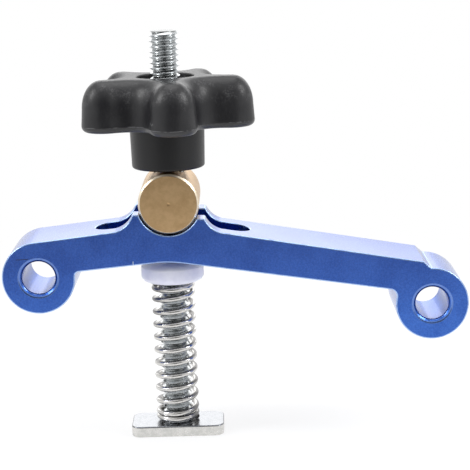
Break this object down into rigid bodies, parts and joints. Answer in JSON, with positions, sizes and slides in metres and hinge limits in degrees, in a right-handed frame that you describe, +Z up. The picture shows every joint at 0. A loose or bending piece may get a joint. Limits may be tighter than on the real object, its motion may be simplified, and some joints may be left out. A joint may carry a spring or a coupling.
{
  "type": "t-track hold-down clamp",
  "caption": "Rocking hold-down clamp for a T-track: a T-bolt with a spring, a slotted arm on a round cross barrel, and a lobed knob.",
  "frame": {"origin": "middle of the T-head's underside, on the bolt's axis", "axes": "+Z up the bolt, +X along the arm's long leg, Y across the arm and along the track"},
  "size_m": [0.1236, 0.045, 0.11],
  "materials": {
    "zinc_steel": "bright zinc plate",
    "spring_steel": "bright plated wire",
    "nylon": "satin white nylon",
    "blue_anodised": "satin blue anodised",
    "brass": "fine turned brass",
    "black_plastic": "fine grained black moulding",
    "insert_steel": "bright plated insert"
  },
  "bodies": {
    "t_bolt": {"t_bolt": "zinc_steel", "spring": "spring_steel"},
    "spring_bush": {"spring_bush": "nylon"},
    "barrel": {"barrel": "brass"},
    "arm": {"arm": "blue_anodised"},
    "knob": {"knob": "black_plastic", "knob_insert": "insert_steel"}
  },
  "joints": [
    {"name": "lift", "type": "slide", "parent": "t_bolt", "child": "spring_bush", "axis": [0, 0, 1], "range_m": [-0.018, 0], "deforming": ["spring"]},
    {"name": "swivel", "type": "hinge", "parent": "spring_bush", "child": "barrel", "pos_m": [0, 0, 0.06555], "axis": [0, 0, 1], "continuous": true},
    {"name": "rock", "type": "hinge", "parent": "barrel", "child": "arm", "pos_m": [0, 0, 0.06555], "axis": [0, 1, 0], "range_deg": [-10, 6]},
    {"name": "knob_turn", "type": "hinge", "parent": "spring_bush", "child": "knob", "pos_m": [0, 0, 0.08555], "axis": [0, 0, 1], "range_deg": [-4592.2, 0]}
  ],
  "couplings": [
    {"joint": "knob_turn", "follows": "lift", "rad_per_m": 4452.7}
  ]
}
